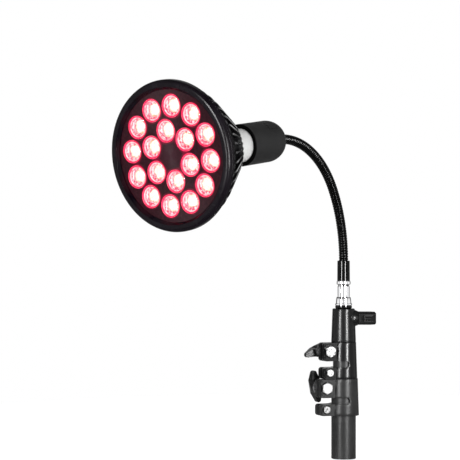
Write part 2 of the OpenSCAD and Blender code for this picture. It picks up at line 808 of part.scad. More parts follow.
// Bright stud: thread below, waisted shaft, flange and a tenon inside the sleeve
module adapter_stud() {
    r = stud_d / 2;
    groove = 0.5;
    flange_r = stud_flange_d / 2;
    color(chrome) rotate_extrude() difference() {
        polygon([[0, thread_shank_z], [thread_shank_r, thread_shank_z], [thread_shank_r, bell_top],
            [r, bell_top], [r, flange_z - 1.6], [r - groove, flange_z - 1.2], [r - groove, flange_z - 0.4],
            [r, flange_z], [flange_r - 0.5, flange_z], [flange_r, flange_z + 0.6], [flange_r, sleeve_z - 0.6],
            [flange_r - 0.5, sleeve_z], [stud_tenon_r, sleeve_z], [stud_tenon_r, neck_z - neck_tail],
            [0, neck_z - neck_tail]]);
        translate([-over, thread_shank_z - over])
            square([neck_bore_d / 2 + over, neck_z - thread_shank_z + 2 * over]);
    }
}

// Bell-shaped nut that locks the stud on the spigot
module adapter_nut() {
    foot_h = 1.6;
    foot_r = bell_d / 2;
    belly_r = foot_r - 0.7;
    top_r = stud_flange_d / 2 - 0.5;
    rise = bell_h - foot_h;
    color(chrome) rotate_extrude() polygon(concat(
        [[thread_shank_r + snug_gap, ring_top], [foot_r, ring_top], [foot_r, ring_top + foot_h - 0.6],
         [foot_r - 0.4, ring_top + foot_h]],
        [for (a = [0 : 15 : 90]) [top_r + (belly_r - top_r) * cos(a), ring_top + foot_h + rise * sin(a)]],
        [[thread_shank_r + snug_gap, bell_top]]));
}

// Spigot: glossy ring on the hub, shank with a waist for the screw, threaded bore
module spigot() {
    r = ring_d / 2;
    ring_round = 0.9;
    edge = 0.8;
    waist_z = hub_z + hub_screw_z;
    half = spigot_waist_h / 2;
    color(glossy_black) rotate_extrude() difference() {
        polygon(concat(
            [[0, spigot_z], [spigot_r - edge, spigot_z], [spigot_r, spigot_z + edge],
             [spigot_r, waist_z - half], [spigot_waist_r, waist_z - half + edge],
             [spigot_waist_r, waist_z + half - edge], [spigot_r, waist_z + half], [spigot_r, hub_top]],
            [for (a = [-90 : 30 : 90]) [r - ring_round + ring_round * cos(a),
                (hub_top + ring_top) / 2 + ring_h / 2 * sin(a)]],
            [[0, ring_top]]));
        translate([-over, thread_shank_z])
            square([thread_shank_r + snug_gap + over, ring_top - thread_shank_z + over]);
        translate([-over, spigot_z - over])
            square([neck_bore_d / 2 + over, ring_top - spigot_z + 2 * over]);
    }
}

hub_low_r = top_tube_r + hub_wall;
hub_top_r = hub_low_r - hub_taper;
hub_boss_r = 6.2;
hub_boss_root_r = 7.6;
hub_boss_out = hub_low_r + 1.8;
hub_insert_r = hub_screw_d / 2 + 1.2;

// Hub: seat for the top tube, bore for the spigot, boss for the screw
module hub() {
    edge = 0.5;
    color(holder_grey) difference() {
        union() {
            rotate_extrude() polygon([[0, hub_z], [hub_low_r - edge, hub_z], [hub_low_r, hub_z + edge],
                [hub_top_r, hub_top - edge], [hub_top_r - edge, hub_top], [0, hub_top]]);
            hub_screw_frame() cylinder(r = hub_boss_root_r, h = hub_low_r - 1.5);
            hub_screw_frame() translate([0, 0, hub_low_r - 1.5])
                cylinder(r1 = hub_boss_root_r, r2 = hub_boss_r, h = hub_boss_out - hub_low_r + 1.5);
        }
        translate([0, 0, hub_z - over]) cylinder(r = top_tube_r + snug_gap, h = hub_seat + over);
        translate([0, 0, hub_z]) cylinder(r = spigot_r + run_gap, h = hub_h + over);
        hub_screw_frame() cylinder(r = hub_insert_r + snug_gap, h = hub_boss_out + over);
    }
}

module hub_insert() {
    color(brass) hub_screw_frame()
        tube(hub_insert_r, hub_screw_d / 2 + run_gap, spigot_r + 1.2, hub_boss_out - 0.3);
}

// Knob with two tapering wings: base at z = 0, wings along X, bore from below; crest is half its end's width
module winged_knob(span, depth, hub_d, crest, bore_r, bore_depth) {
    root_w = hub_d * 0.84;
    tip_r = 2.2;
    hub_r = hub_d / 2;
    neck_h = depth * 0.3;
    tip_low = depth * 0.4;
    tip_high = depth * 0.68;
    flat = root_w / 3;
    round_h = 1.2;
    past = 0.3;
    difference() {
        intersection() {
            linear_extrude(depth) {
                circle(r = hub_r);
                for (m = [0, 1]) mirror([m, 0]) {
                    polygon([[0, -root_w / 2], [span / 2 - tip_r, -tip_r], [span / 2 - tip_r, tip_r],
                        [0, root_w / 2]]);
                    translate([span / 2 - tip_r, 0]) circle(r = tip_r);
                }
            }
            rotate([90, 0, 0]) translate([0, 0, -hub_r - over]) linear_extrude(2 * (hub_r + over))
                polygon([[-hub_r - past, 0], [hub_r + past, 0], [hub_r + past, neck_h],
                    [span / 2 + past, tip_low], [span / 2 + past, tip_high], [flat, depth], [-flat, depth],
                    [-span / 2 - past, tip_high], [-span / 2 - past, tip_low], [-hub_r - past, neck_h]]);
            rotate([90, 0, 90]) translate([0, 0, -span / 2 - over]) linear_extrude(span + 2 * over)
                polygon([[-hub_r - past, 0], [hub_r + past, 0], [hub_r + past, neck_h],
                    [crest, depth - round_h], [crest - round_h, depth], [round_h - crest, depth],
                    [-crest, depth - round_h], [-hub_r - past, neck_h]]);
        }
        translate([0, 0, -over]) cylinder(r = bore_r, h = bore_depth + over);
    }
}

hub_knob_gap = 0.4;
hub_knob_grip = 11;

// Knob of the hub's screw, its wings lying level
module hub_knob() {
    color(satin_black) hub_screw_frame() translate([0, 0, hub_boss_out + hub_knob_gap]) rotate([0, 0, 90])
        winged_knob(hub_knob_span, hub_knob_depth, 12, 5.7, hub_screw_d / 2 + snug_gap, hub_knob_grip);
}

module hub_knob_screw() {
    color(steel) hub_screw_frame()
        disc(hub_screw_d / 2, spigot_waist_r + 0.1, hub_boss_out + hub_knob_gap + hub_knob_grip - 0.1);
}

module top_tube() {
    color(tube_grey)
        tube(top_tube_r, top_tube_r - tube_wall, top_bush_z + bush_lip, hub_z + hub_seat);
}

// Tube with a rolled groove just inside the lower end of the collar that is fixed to it
module grooved_tube(r, z0, z1, collar_z) {
    color(tube_grey) difference() {
        tube(r, r - tube_wall, z0, z1);
        tube(r + over, r - groove_depth, collar_z, collar_z + groove_w);
    }
}

module middle_tube() {
    grooved_tube(middle_tube_r, middle_bush_z + bush_lip, middle_tube_top, upper_z);
}

module outer_tube() {
    grooved_tube(outer_tube_r, 0, outer_tube_top, lower_z);
}

// Guide bush: a lip under the tube's end that rides in the next tube, and a plug inside the tube
module guide_bush(tube_r, guide_r, z) {
    wall = 1.3;
    plug_r = tube_r - tube_wall - snug_gap;
    color(satin_black) rotate_extrude() polygon([
        [plug_r - wall, z], [guide_r, z], [guide_r, z + bush_lip], [plug_r, z + bush_lip],
        [plug_r, z + bush_h], [plug_r - wall, z + bush_h]]);
}

module top_bush() {
    guide_bush(top_tube_r, middle_tube_r - tube_wall - run_gap, top_bush_z);
}

module middle_bush() {
    guide_bush(middle_tube_r, outer_tube_r - tube_wall - run_gap, middle_bush_z);
}

ear_round = 2.4;
ear_half = ears_w / 2;
// Ears stop this far short of the collar's two ends
ear_step = 0.2;
// Raised pads round the bolt heads: height, half width, distance from the ears' end
boss_h = 1.6;
big_pad = clamp_head_af / 2 + 1.8;
small_pad = fix_head_af / 2 + 1.3;
pad_inset = 0.6;
pocket_gap = 0.5;
upper_bolt_x = middle_tube_r + upper_bolt_out;
lower_bolt_x = outer_tube_r + lower_bolt_out;
big_bolt_z = low_ring_h + slot_h + top_ring_h / 2 + 0.6;
small_bolt_z = low_ring_h / 2 + 0.7;
head_h_clamp = 4;
head_h_fix = 2.8;
fix_nut_h = 3.2;
washer_h = 1;
washer_r = 6.4;

// Collar: two rings joined at the back, ears in front, and a stepped bore
module clamp_collar(fixed_r, sliding_r, bolt_x) {
    low_r = fixed_r + collar_wall;
    high_r = low_r - collar_taper;
    top0 = low_ring_h + slot_h;
    ear_x = bolt_x + ear_reach;
    pad_x = ear_x - pad_inset;
    difference() {
        union() {
            cylinder(r1 = low_r, r2 = high_r, h = collar_h);
            translate([0, ear_half, 0]) rotate([90, 0, 0]) linear_extrude(ears_w) {
                rounded_rect(-fixed_r / 2, ear_step, ear_x, low_ring_h, ear_round);
                rounded_rect(-fixed_r / 2, top0, ear_x, collar_h - ear_step, ear_round);
            }
            translate([0, ear_half + boss_h, 0]) rotate([90, 0, 0]) linear_extrude(boss_h + 1) {
                rounded_rect(bolt_x - big_pad, big_bolt_z - big_pad, pad_x, big_bolt_z + big_pad, 1);
                rounded_rect(bolt_x - small_pad, small_bolt_z - small_pad, pad_x,
                    small_bolt_z + small_pad, 1);
            }
        }
        translate([0, 0, -over]) cylinder(r = fixed_r + snug_gap, h = ring_split_z + over);
        cylinder(r = sliding_r + run_gap, h = collar_h + over);
        translate([0, -split_w / 2, -over]) cube([ear_x + over, split_w, collar_h + 2 * over]);
        translate([0, low_r + ears_w, 0]) rotate([90, 0, 0]) linear_extrude(2 * (low_r + ears_w)) {
            translate([slot_h / 2, low_ring_h]) square([ear_x + over, slot_h]);
            translate([slot_h / 2, low_ring_h + slot_h / 2]) circle(d = slot_h);
        }
        translate([bolt_x, 0, big_bolt_z]) rotate([90, 0, 0])
            cylinder(r = clamp_bolt_d / 2 + hole_gap, h = 2 * ears_w, center = true);
        translate([bolt_x, 0, small_bolt_z]) rotate([90, 0, 0])
            cylinder(r = fix_bolt_d / 2 + hole_gap, h = 2 * ears_w, center = true);
        translate([bolt_x, ear_half + boss_h + over, big_bolt_z]) rotate([90, 0, 0])
            cylinder(r = clamp_head_af / 2 / cos(30) + pocket_gap, h = boss_h + over);
        translate([bolt_x, ear_half + boss_h + over, small_bolt_z]) rotate([90, 0, 0])
            cylinder(r = fix_head_af / 2 / cos(30) + pocket_gap, h = boss_h + over);
    }
}

// Bolt along -Y, its head's seat at y = seat
module clamp_bolt(bolt_x, z, seat, d, af, head_h, reach) {
    translate([bolt_x, seat, z]) rotate([-90, 0, 0]) hex_head(af, head_h);
    translate([bolt_x, seat, z]) rotate([90, 0, 0]) cylinder(r = d / 2, h = reach);
}

knob_base = ear_half + washer_h;
insert_r = 4.6;
insert_h = 9;
insert_grip = 0.1;

module collar_fix_bolt(bolt_x, z) {
    color(steel) clamp_frame(z)
        clamp_bolt(bolt_x, small_bolt_z, ear_half, fix_bolt_d, fix_head_af, head_h_fix,
            ears_w + fix_nut_h + 1);
}

module collar_fix_nut(bolt_x, z) {
    color(steel) clamp_frame(z) translate([bolt_x, -ear_half, small_bolt_z]) rotate([90, 0, 0])
        difference() {
            hex_head(fix_head_af, fix_nut_h);
            translate([0, 0, -over]) cylinder(r = fix_bolt_d / 2 + snug_gap, h = fix_nut_h + 2 * over);
        }
}

module collar_clamp_bolt(bolt_x, z) {
    color(chrome) clamp_frame(z)
        clamp_bolt(bolt_x, big_bolt_z, ear_half, clamp_bolt_d, clamp_head_af, head_h_clamp,
            ear_half + knob_base + insert_h - 1);
}

module collar_washer(bolt_x, z) {
    color(steel) clamp_frame(z) translate([bolt_x, -ear_half, big_bolt_z]) rotate([90, 0, 0])
        tube(washer_r, clamp_bolt_d / 2 + hole_gap, 0, washer_h);
}

// Frame of a wing knob: +Z outwards along the bolt, +X level along the ears
module wing_frame(bolt_x, z) {
    clamp_frame(z) translate([bolt_x, -knob_base, big_bolt_z]) rotate([90, 0, 0]) children();
}

module collar_wing_knob(bolt_x, z, turn) {
    color(satin_black) wing_frame(bolt_x, z) rotate([0, 0, -turn])
        winged_knob(wing_span, wing_depth, wing_hub_d, wing_hub_d * 0.31, insert_r + insert_grip / 2, insert_h);
}

module collar_wing_insert(bolt_x, z) {
    color(brass) wing_frame(bolt_x, z) tube(insert_r, clamp_bolt_d / 2 + run_gap, 0, insert_h - insert_grip);
}

module upper_collar() {
    color(satin_black) clamp_frame(upper_z) clamp_collar(middle_tube_r, top_tube_r, upper_bolt_x);
}
module lower_collar() {
    color(satin_black) clamp_frame(lower_z) clamp_collar(outer_tube_r, middle_tube_r, lower_bolt_x);
}
module upper_fix_bolt() { collar_fix_bolt(upper_bolt_x, upper_z); }
module upper_fix_nut() { collar_fix_nut(upper_bolt_x, upper_z); }
module upper_clamp_bolt() { collar_clamp_bolt(upper_bolt_x, upper_z); }
module upper_washer() { collar_washer(upper_bolt_x, upper_z); }
module upper_wing_knob() { collar_wing_knob(upper_bolt_x, upper_z, upper_wing_turn); }
module upper_wing_insert() { collar_wing_insert(upper_bolt_x, upper_z); }
module lower_fix_bolt() { collar_fix_bolt(lower_bolt_x, lower_z); }
module lower_fix_nut() { collar_fix_nut(lower_bolt_x, lower_z); }
module lower_clamp_bolt() { collar_clamp_bolt(lower_bolt_x, lower_z); }
module lower_washer() { collar_washer(lower_bolt_x, lower_z); }
module lower_wing_knob() { collar_wing_knob(lower_bolt_x, lower_z, lower_wing_turn); }
module lower_wing_insert() { collar_wing_insert(lower_bolt_x, lower_z); }

front_bezel();
lens_plate();
lenses_outer();
lenses_inner();
led_emitters();
led_board();
board_screws();
heat_sink();
driver_cup();
driver_board();
driver_components();
led_leads();
base_collar();
screw_shell();
base_insulator();
tip_contact();
holder_shell();
holder_core();
thread_sleeve();
centre_contact();
terminal_screws();
holder_dome();
neck_ferrule();
ferrule_nut();
gooseneck_1();
gooseneck_2();
gooseneck_3();
gooseneck_4();
gooseneck_5();
gooseneck_6();
foot_sleeve();
adapter_stud();
adapter_nut();
spigot();
hub();
hub_insert();
hub_knob();
hub_knob_screw();
top_tube();
top_bush();
middle_tube();
middle_bush();
outer_tube();
upper_collar();
upper_fix_bolt();
upper_fix_nut();
upper_clamp_bolt();
upper_washer();
upper_wing_knob();
upper_wing_insert();
lower_collar();
lower_fix_bolt();
lower_fix_nut();
lower_clamp_bolt();
lower_washer();
lower_wing_knob();
lower_wing_insert();
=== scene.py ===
import math

import bpy
from mathutils import Matrix, Vector


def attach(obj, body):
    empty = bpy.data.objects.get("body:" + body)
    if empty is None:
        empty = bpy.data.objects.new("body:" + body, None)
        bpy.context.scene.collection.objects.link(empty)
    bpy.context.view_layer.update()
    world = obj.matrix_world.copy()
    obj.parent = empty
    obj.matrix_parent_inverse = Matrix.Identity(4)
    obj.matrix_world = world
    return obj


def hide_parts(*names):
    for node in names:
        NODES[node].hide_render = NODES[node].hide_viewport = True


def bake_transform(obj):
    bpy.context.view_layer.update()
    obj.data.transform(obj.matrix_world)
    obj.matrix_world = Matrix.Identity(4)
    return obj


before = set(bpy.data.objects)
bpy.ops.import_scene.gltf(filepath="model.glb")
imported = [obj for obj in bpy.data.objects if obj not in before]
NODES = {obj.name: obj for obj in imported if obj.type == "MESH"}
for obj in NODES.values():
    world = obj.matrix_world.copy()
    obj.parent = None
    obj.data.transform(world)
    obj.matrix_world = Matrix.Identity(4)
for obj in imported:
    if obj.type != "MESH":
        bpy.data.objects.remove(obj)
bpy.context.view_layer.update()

# Millimetres to metres
MM = 0.001

# The photograph's side and focal length in its pixels, the camera's place in metres and the way it looks, and the
# width of its sensor in mm
PHOTO_SIDE = 460
FOCAL_PX = 1776.6
CAMERA_AT = (0.8957, -1.3175, 0.2041)
CAMERA_TO = (-0.6138, 0.7894, 0.0)
SENSOR = 36.0


def make_camera():
    """The photograph's camera: level, with the frame's middle on its axis."""
    data = bpy.data.cameras.new("camera")
    data.sensor_width = SENSOR
    data.lens = FOCAL_PX / PHOTO_SIDE * SENSOR
    data.clip_start, data.clip_end = 0.05, 50
    camera = bpy.data.objects.new("camera", data)
    camera.location = CAMERA_AT
    camera.rotation_euler = Vector(CAMERA_TO).to_track_quat("-Z", "Y").to_euler()
    bpy.context.scene.collection.objects.link(camera)
    bpy.context.scene.camera = camera


# The lamp's own frame has +Z back along its axis, +X to the right hand and -Y to the top. How far the lamp leans
# from level, and how far the front ring's crest stands before the frame's origin, in mm
LAMP_TILT = math.radians(7.5)
BEZEL_CREST = 1.6


def lamp_matrix():
    """Places the lamp's frame, with its origin where the axis meets the plane of the lenses' tops."""
    turn = Matrix.Rotation(LAMP_TILT - math.pi / 2, 4, "X")
    local = [turn.inverted() @ v.co for v in NODES["front_bezel"].data.vertices]
    crest = min(p.z for p in local)
    mid_y = (min(p.y for p in local) + max(p.y for p in local)) / 2
    return turn @ Matrix.Translation((0, mid_y, crest + BEZEL_CREST * MM))


LAMP = lamp_matrix()
LAMP_BACK = (LAMP.to_3x3() @ Vector((0, 0, 1))).normalized()


class Nodes:
    """Short way to build a node tree: its methods add a node and give back an output socket."""

    def __init__(self, tree):
        self.use(tree)

    def use(self, tree):
        """Starts the tree empty."""
        self.tree = tree
        tree.nodes.clear()

    def link(self, a, b):
        self.tree.links.new(a, b)

    def fill(self, socket, value):
        """Links the value to the socket if it is a socket itself, or else sets it there."""
        if isinstance(value, bpy.types.NodeSocket):
            self.link(value, socket)
        elif socket.type == "RGBA" and len(value) == 3:
            socket.default_value = (*value, 1)
        else:
            socket.default_value = value

    def add(self, kind, values=(), **settings):
        """A node of that kind: settings are its properties, values its inputs by name or number."""
        node = self.tree.nodes.new("ShaderNode" + kind)
        for key, value in settings.items():
            setattr(node, key, value)
        for key, value in dict(values).items():
            self.fill(node.inputs[key], value)
        return node

    def remap(self, value, low, high, to_low, to_high):
        return self.add("MapRange", {"Value": value, "From Min": low, "From Max": high, "To Min": to_low,
                                     "To Max": to_high}).outputs["Result"]

    def math(self, operation, *values):
        return self.add("Math", dict(enumerate(values)), operation=operation).outputs[0]

    def vector(self, operation, *values, out="Vector"):
        return self.add("VectorMath", dict(enumerate(values)), operation=operation).outputs[out]

    def joined(self, **parts):
        """The vector with those parts, of X, Y and Z."""
        return self.add("CombineXYZ", parts).outputs[0]

    def band(self, value, low, high, soft):
        """1 between low and high, falling to 0 over the width soft outside them."""
        rise = self.remap(value, low - soft, low, 0, 1)
        fall = self.remap(value, high, high + soft, 1, 0)
        return self.math("MULTIPLY", rise, fall)

    def mix(self, factor, a, b):
        """The colour a where the factor is 0, and b where it is 1."""
        node = self.tree.nodes.new("ShaderNodeMix")
        node.data_type = "RGBA"
        for socket, value in ((node.inputs[0], factor), (node.inputs[6], a), (node.inputs[7], b)):
            self.fill(socket, value)
        return node.outputs[2]


class Shader(Nodes):
    """Short way to build a node material round one Principled shader."""

    NAMES = {"color": "Base Color", "rough": "Roughness", "metal": "Metallic", "spec": "Specular IOR Level",
             "coat": "Coat Weight", "coat_rough": "Coat Roughness", "glow": "Emission Strength",
             "glow_color": "Emission Color", "ior": "IOR", "aniso": "Anisotropic", "clear": "Transmission Weight"}

    def __init__(self, name, **sockets):
        self.material = bpy.data.materials.new(name)
        self.material.use_nodes = True
        self.use(self.material.node_tree)
        out = self.tree.nodes.new("ShaderNodeOutputMaterial")
        self.bsdf = self.tree.nodes.new("ShaderNodeBsdfPrincipled")
        self.link(self.bsdf.outputs[0], out.inputs["Surface"])
        self.place = self.add("TexCoord").outputs["Object"]
        for key, value in sockets.items():
            self.feed(value, key)

    def feed(self, value, name):
        """Gives the Principled shader's input of that short name the value."""
        self.fill(self.bsdf.inputs[self.NAMES.get(name, name)], value)

    def noise(self, scale, detail=3.0, rough=0.55, place=None):
        return self.add("TexNoise", {"Vector": place or self.place, "Scale": scale, "Detail": detail,
                                     "Roughness": rough}).outputs["Fac"]

    def bump(self, height, distance):
        values = {"Height": height, "Distance": distance, "Strength": 1.0}
        self.feed(self.add("Bump", values).outputs["Normal"], "Normal")


def moulded(name, color, rough, spec=0.3, grain=2200.0, depth=0.00002, mottle=0.12):
    """Moulded plastic: fine grain, slight mottling of colour and gloss."""
    s = Shader(name, color=color, rough=rough, spec=spec)
    cloud = s.noise(45.0, 4.0)
    fine = s.noise(grain, 2.0)
    light = tuple(min(1.0, c * (1 + mottle)) for c in color)
    dark = tuple(c * (1 - mottle) for c in color)
    s.feed(s.mix(s.remap(cloud, 0.35, 0.65, 0, 1), dark, light), "color")
    both = s.math("ADD", cloud, s.math("MULTIPLY", fine, 0.5))
    s.feed(s.remap(both, 0.5, 1.0, rough - 0.05, rough + 0.06), "rough")
    s.bump(fine, depth)
    return s


def bright_metal(name, color, rough, scratches=0.05):
    """Plated or bare metal: fine scratches run round it, with a trace of dulling."""
    s = Shader(name, color=color, rough=rough, metal=1.0)
    cloud = s.noise(160.0, 4.0)
    stretched = s.add("Mapping", {"Vector": s.place, "Scale": (1, 1, 14)}).outputs[0]
    hair = s.noise(900.0, 3.0, place=stretched)
    low, high = max(0.02, rough - scratches), rough + scratches
    s.feed(s.remap(s.math("ADD", cloud, hair), 0.7, 1.3, low, high), "rough")
    s.bump(hair, 0.000004)
    return s


# Direction that the clamps' bolt heads face, and their colours: bright head, dull spots, and the painted shade of
# the flats in their pocket
BOLT_AXIS = (0.866, -0.5, 0.0)
BOLT_BRIGHT, BOLT_DULL, FLATS_SHADE = (0.93, 0.93, 0.93), (0.18, 0.18, 0.18), (0.02, 0.02, 0.02)
# Heights of the stud's grooves that are painted dark as shade, in metres, and the stud's colours: its chrome and
# the painted shade in its grooves
STUD_GROOVES = ((0.1538, 0.1553), (0.1432, 0.1440))
GROOVE_SOFT = 0.0002
CHROME, GROOVE_SHADE = (0.93, 0.93, 0.94), (0.02, 0.02, 0.02)


def bolt_metal(name, worn):
    """Plated bolt: bright head, whose flats are painted dark as the shade of their pocket; worn is its share of
    dull spots.
    """
    s = bright_metal(name, BOLT_BRIGHT, 0.16)
    normal = s.add("TexCoord").outputs["Normal"]
    facing = s.vector("DOT_PRODUCT", normal, BOLT_AXIS, out="Value")
    spots = s.remap(s.noise(620.0, 4.0, 0.6), 0.50, 0.60, 0, worn)
    head = s.mix(spots, BOLT_BRIGHT, BOLT_DULL)
    # painted shade: faces turned away from the bolt's axis are coloured dark, as if shaded in their pocket
    s.feed(s.mix(s.remap(facing, 0.4, 0.6, 0, 1), FLATS_SHADE, head), "color")
    return s


def stud_chrome():
    """Mirror-bright chrome with painted shade in its grooves."""
    s = bright_metal("chrome", CHROME, 0.07)
    height = s.add("SeparateXYZ", {"Vector": s.place}).outputs["Z"]
    upper, lower = (s.band(height, *groove, GROOVE_SOFT) for groove in STUD_GROOVES)
    groove = s.math("MAXIMUM", upper, lower)
    # painted shade in the grooves, broken up by noise
    groove_shade = s.math("MULTIPLY", groove, s.remap(s.noise(500.0, 3.0), 0.40, 0.55, 0.3, 1))
    s.feed(s.mix(groove_shade, CHROME, GROOVE_SHADE), "color")
    return s


# Ring of lenses: radius in mm, number, and the angle of its first lens in degrees
OUTER_RING = (39.8, 12, 83.4)
INNER_RING = (20.3, 6, 98.5)
LENS_R = 9.25
# The lenses' red light: its level on the front ring's inner wall, on the plate and close beside each lens, how far
# it reaches from a lens on the wall and on the plate, in mm, and the power with which it falls
WALL_GLOW = 0.035
PLATE_GLOW = 0.010
PLATE_HALO = 0.22
WALL_REACH = 9.0
PLATE_REACH = 1.6
HALO_FALL = 1.6
# Radii of the front ring's inner wall, and of the plate's middle, which is painted paler as a sheen, in mm
BEZEL_WALL = (52.0, 54.8)
WALL_SOFT = 0.3
PLATE_MIDDLE = 14.0


def lamp_coordinates(s):
    """Distance from the lamp's axis in metres, the unit vector round it and the angle about it, as sockets."""
    offset = s.vector("SUBTRACT", s.place, tuple(LAMP.translation))
    along = s.vector("DOT_PRODUCT", offset, tuple(LAMP_BACK), out="Value")
    on_axis = s.add("VectorMath", {0: tuple(LAMP_BACK), "Scale": along}, operation="SCALE").outputs[0]
    out = s.vector("SUBTRACT", offset, on_axis)
    radius = s.vector("LENGTH", out, out="Value")
    round_it = s.vector("NORMALIZE", s.vector("CROSS_PRODUCT", tuple(LAMP_BACK), out))
    right = s.vector("DOT_PRODUCT", out, tuple(LAMP.to_3x3() @ Vector((1, 0, 0))), out="Value")
    up = s.vector("DOT_PRODUCT", out, tuple(LAMP.to_3x3() @ Vector((0, -1, 0))), out="Value")
    return radius, round_it, s.math("ARCTAN2", up, right)


def beside_lenses(s, radius, turn, reach):
    """1 at the rims of the lenses, falling to 0 over the reach in mm."""
    nearest = None
    for ring_radius, count, phase in (OUTER_RING, INNER_RING):
        swing = s.math("PINGPONG", s.math("SUBTRACT", turn, math.radians(phase)), math.pi / count)
        sideways = s.math("MULTIPLY", swing, radius)
        inwards = s.math("SUBTRACT", radius, ring_radius * MM)
        away = s.vector("LENGTH", s.joined(X=sideways, Y=inwards), out="Value")
        nearest = away if nearest is None else s.math("MINIMUM", nearest, away)
    return s.math("POWER", s.remap(nearest, LENS_R * MM, (LENS_R + reach) * MM, 1, 0), HALO_FALL)


def plate_black():
    """Glossy near-black front plate, turned finely round its middle, which shows a radial sheen, partly painted
    paler.
    """
    s = Shader("plate_black", color=(0.02, 0.005, 0.008), rough=0.3, spec=0.07, aniso=0.75,
               glow_color=(1.0, 0.01, 0.12))
    radius, round_it, turn = lamp_coordinates(s)
    fine = s.noise(1900.0, 2.0)
    turned = s.add("VectorTransform", {"Vector": round_it}, vector_type="VECTOR", convert_from="OBJECT",
                   convert_to="WORLD").outputs[0]
    s.feed(turned, "Tangent")
    wave = {"Scale": 900.0, "Distortion": 0.6, "Detail": 2.0, "Vector": s.joined(X=radius)}
    rings = s.add("TexWave", wave).outputs["Fac"]
    painted_sheen = s.remap(radius, 0.0, PLATE_MIDDLE * MM, 1, 0)
    speck = s.noise(420.0, 3.0)
    # painted red light of the lenses: a red cast in the plate's colour, with random specks
    dark = s.mix(s.remap(speck, 0.4, 0.7, 0, 1), (0.016, 0.004, 0.007), (0.030, 0.008, 0.013))
    # painted sheen: the plate's middle is coloured paler
    s.feed(s.mix(painted_sheen, dark, (0.050, 0.022, 0.030)), "color")
    # painted red light of the lenses: the plate glows red, most beside their rims
    halo = s.math("MULTIPLY", beside_lenses(s, radius, turn, PLATE_REACH), PLATE_HALO)
    s.feed(s.math("ADD", halo, PLATE_GLOW), "glow")
    s.feed(s.remap(fine, 0.3, 0.7, 0.26, 0.36), "rough")
    s.bump(rings, 0.000006)
    return s


def bezel_black():
    """High-gloss near-black plastic with a purple cast and faint sink marks."""
    s = Shader("bezel_black", color=(0.006, 0.004, 0.006), rough=0.2, spec=0.09, glow_color=(1.0, 0.0, 0.06))
    cloud = s.noise(60.0, 4.0)
    fine = s.noise(1500.0, 2.0)
    s.feed(s.mix(s.remap(cloud, 0.35, 0.65, 0, 1), (0.003, 0.0015, 0.0035), (0.007, 0.0045, 0.008)), "color")
    radius, _, turn = lamp_coordinates(s)
    wall = s.band(radius, BEZEL_WALL[0] * MM, BEZEL_WALL[1] * MM, WALL_SOFT * MM)
    s.feed(s.math("MULTIPLY", s.remap(cloud, 0.3, 0.7, 0.22, 0.30), s.remap(wall, 0, 1, 1, 0.3)), "rough")
    s.bump(fine, 0.000008)

    # Red light of the outer lenses on the inner wall
    glow = s.math("MULTIPLY", wall, beside_lenses(s, radius, turn, WALL_REACH))
    s.feed(s.math("MULTIPLY", glow, WALL_GLOW), "glow")
    return s


# Clear dome of a lens, in mm: the depth of its edge behind the plane of the lenses' tops, its height over its edge,
# and the depth of its foot
LENS_EDGE = 1.6
LENS_CROWN = 1.9
LENS_FLOOR = 1.75
LENS_SIDES = 64
# Angles from the crown to the edge at which the dome has its rings, in degrees
DOME_ANGLES = (8, 18, 30, 42, 54, 66, 76, 84, 90)
# Lit inside of the lens from its rim to its middle: radius and depth behind the same plane, in mm
RELIEF = [(9.15, 1.72), (8.75, 1.9), (8.35, 2.15), (8.0, 2.5), (7.7, 2.55), (7.4, 2.75), (6.9, 3.1), (6.2, 3.35),
          (5.6, 3.3), (5.2, 3.0), (4.8, 2.75), (4.1, 2.55), (3.2, 2.4), (2.2, 2.3), (1.1, 2.24)]
RELIEF_TIP = 2.22
# Its walls behind the plate, where they are hidden
RELIEF_BACK = [(8.6, 5.0), (7.4, 7.0), (5.9, 9.0), (3.8, 10.9)]
# Colours of the lit lens, and the level of its hot spot's light
HOT, WARM, AMBER = (1.0, 0.99, 0.93), (1.0, 0.90, 0.62), (1.0, 0.62, 0.22)
WHITE, PINK, ROSE = (1.0, 0.76, 0.73), (1.0, 0.20, 0.25), (1.0, 0.03, 0.09)
DEEP_RED, RIM_RED = (0.90, 0.0, 0.05), (1.0, 0.0, 0.06)
LENS_HOT_LEVEL = 1.08
# Drawing of the lit lens, on a disc of radius 1: the hot spot's middle and half sizes, the dash left of it, the
# radii of the deep arcs, of the glints, of the bright collar, of the line inside it and of the rim's start, and
# the directions of the deep arcs and of the rosy ones, in degrees
HOT_MIDDLE, HOT_SIZE = (0.24, 0.06), (0.50, 0.58)
DASH_X, DASH_Y = (-0.54, -0.42), (-0.12, 0.42)
ARC_RADII, GLINT_RADII, COLLAR_RADII = (0.56, 0.76), (0.60, 0.72), (0.76, 0.825)
LINE_RADII, RIM_RADII = (0.72, 0.75), (0.835, 0.87)
DEEP_SIDE, ROSY_SIDE = -118, 62
GLINTS = 6.0


def ring_places(ring):
    """Middles of the lenses of a ring, in the lamp's frame, in mm."""
    radius, count, phase = ring
    for i in range(count):
        a = math.radians(phase + i * 360 / count)
        yield radius * math.cos(a), -radius * math.sin(a)


def revolved(profile, sides, tips):
    """Closed surface of revolution: points and faces; tips are the axis points before and after the profile."""
    points, faces = [], []
    for r, t in profile:
        for i in range(sides):
            a = 2 * math.pi * i / sides
            points.append((r * math.cos(a), r * math.sin(a), t))
    for k in range(len(profile) - 1):
        for i in range(sides):
            j = (i + 1) % sides
            faces.append((k * sides + i, k * sides + j, (k + 1) * sides + j, (k + 1) * sides + i))
    first, last = len(points), len(points) + 1
    points += [(0, 0, tips[0]), (0, 0, tips[1])]
    end = (len(profile) - 1) * sides
    for i in range(sides):
        j = (i + 1) % sides
        faces.append((first, j, i))
        faces.append((last, end + i, end + j))
    return points, faces


def new_object(name, points, faces, *shaders):
    """Object with a smooth mesh of those points and faces, and with the shaders' materials."""
    mesh = bpy.data.meshes.new(name)
    mesh.from_pydata(points, [], faces)
    mesh.shade_smooth()
    for shader in shaders:
        mesh.materials.append(shader.material)
    piece = bpy.data.objects.new(name, mesh)
    bpy.context.scene.collection.objects.link(piece)
    return piece


